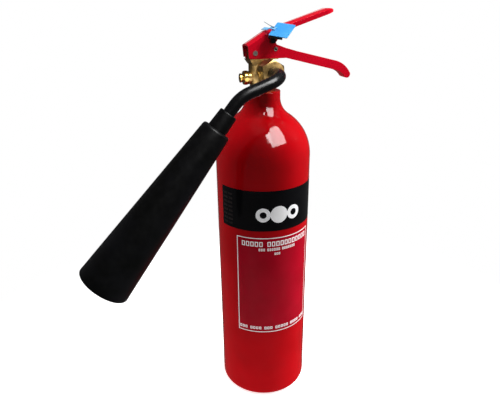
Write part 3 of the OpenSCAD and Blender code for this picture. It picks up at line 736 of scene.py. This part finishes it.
def make_floor():
    """A pale sheet that thins out into the white behind it, and a light that stands for its glow."""
    fade_start, floor_r, top, thickness = 140, 520, -0.02, 3.98
    finish = Finish("floor_paper", IOR=1.1, Emission_Color=(1, 1, 1, 1), Emission_Strength=0.78)
    tree = finish.tree
    finish.colour(finish.ramp(finish.noise(400, 2), [(0.3, (0.90, 0.90, 0.90)), (0.7, (0.93, 0.93, 0.93))]))
    finish.roughness(finish.span(finish.noise(60, 2), 0.8, 0.95))
    reach = tree.nodes.new("ShaderNodeVectorMath")
    reach.operation = "LENGTH"
    tree.links.new(finish.place, reach.inputs[0])
    sheet = finish.span(reach.outputs["Value"], 1, 0, fade_start * MM, floor_r * MM)
    tree.links.new(sheet, finish.shader.inputs["Alpha"])

    foot = top - thickness
    verts, faces = lathe([(0, foot), (floor_r, foot), (floor_r, top), (0, top)], 96)
    mesh = bpy.data.meshes.new("floor")
    mesh.from_pydata([v * MM for v in verts], [], faces)
    mesh.materials.append(finish.material)
    floor = bpy.data.objects.new("floor", mesh)
    bpy.context.scene.collection.objects.link(floor)
    floor.visible_glossy = False
    floor.visible_diffuse = False
    floor.visible_shadow = False

    glow = softbox("floor_glow", 0, 90, 0.0005, (0.71, 0.71), 2.4, "diffuse", (0, 0, 0))
    glow.rotation_euler = (pi, 0, 0)


def make_world():
    """White for the camera, and a faint light that is a little stronger in reflections."""
    diffuse_strength, gloss_extra = 0.01, 0.05
    world = bpy.data.worlds.new("studio")
    world.use_nodes = True
    tree = world.node_tree
    background = tree.nodes["Background"]
    background.inputs["Color"].default_value = (1, 1, 1, 1)
    rays = tree.nodes.new("ShaderNodeLightPath")
    dim = tree.nodes.new("ShaderNodeMath")
    dim.operation = "MULTIPLY_ADD"
    dim.inputs[1].default_value = gloss_extra
    dim.inputs[2].default_value = diffuse_strength
    tree.links.new(rays.outputs["Is Glossy Ray"], dim.inputs[0])
    strength = tree.nodes.new("ShaderNodeMath")
    strength.operation = "MAXIMUM"
    tree.links.new(dim.outputs["Value"], strength.inputs[0])
    tree.links.new(rays.outputs["Is Camera Ray"], strength.inputs[1])
    tree.links.new(strength.outputs["Value"], background.inputs["Strength"])
    bpy.context.scene.world = world
    bpy.context.scene.view_settings.view_transform = "Standard"


def make_studio():
    softbox("key_glint", 28, 51, 1.5, (1.0, 1.1), 44, "glossy")
    softbox("side_glint", 3, 54, 1.5, (0.26, 0.75), 2.6, "glossy")
    softbox("top_softbox", 0, 85, 1.5, (1.2, 1.2), 22.4, "diffuse")
    softbox("right_high_softbox", 90, 40, 1.5, (0.8, 1.2), 32.5, "diffuse")
    softbox("right_low_softbox", 90, 10, 1.5, (0.8, 1.2), 10.5, "diffuse")
    softbox("left_softbox", -130, 10, 1.5, (0.8, 1.2), 12.5, "diffuse")
    softbox("foot_softbox", 66, 4, 1.0, (0.6, 0.3), 1.5, "diffuse", (0, 0, 0.1))

    levers = ["lever_paint"]
    light_only(softbox("lever_softbox", 30, 42, 1.0, (0.3, 0.3), 11, "diffuse", HEAD), levers)
    light_only(softbox("lever_front", -20, 5, 1.0, (0.6, 0.6), 0.5, "diffuse", HEAD), levers)
    light_only(softbox("lever_back_strip", 180, 14, 1.3, (2.4, 0.22), 1.6, "glossy", HEAD), levers)

    metals = ["valve_brass", "bright_brass"]
    light_only(softbox("metal_low_card", 12, -24, 0.8, (1.1, 0.9), 5, "glossy", HEAD), metals)
    light_only(softbox("metal_left_card", -75, 10, 0.8, (0.5, 0.9), 3, "glossy", HEAD), metals)

    make_floor()
    make_world()


def make_camera():
    """Stands to the left of the label's middle, above the valve's height, and looks down on the object."""
    azimuth, distance, height = -18.0, 0.5867, 0.5104
    yaw, pitch, roll = radians(16.36), radians(23.02), radians(-0.74)
    forward = Vector((sin(yaw) * cos(pitch), cos(yaw) * cos(pitch), -sin(pitch)))
    level = Vector((cos(yaw), -sin(yaw), 0))
    up = level.cross(forward)
    right = level * cos(roll) + up * sin(roll)
    top = up * cos(roll) - level * sin(roll)
    data = bpy.data.cameras.new("camera")
    data.sensor_width = 36
    data.lens = 35.06
    data.clip_start = 0.01
    camera = bpy.data.objects.new("camera", data)
    bpy.context.scene.collection.objects.link(camera)
    turn = Matrix((right, top, -forward)).transposed().to_4x4()
    stand = direction(azimuth, 0) * distance
    camera.matrix_world = Matrix.Translation((stand.x, stand.y, height)) @ turn
    bpy.context.scene.camera = camera


make_camera()
make_cylinder()
make_band()
make_label()
make_pipe()
make_collar()
make_horn()
make_seal()
for node_name, width in EDGE_WIDTHS.items():
    soften(node_name, width)
make_studio()
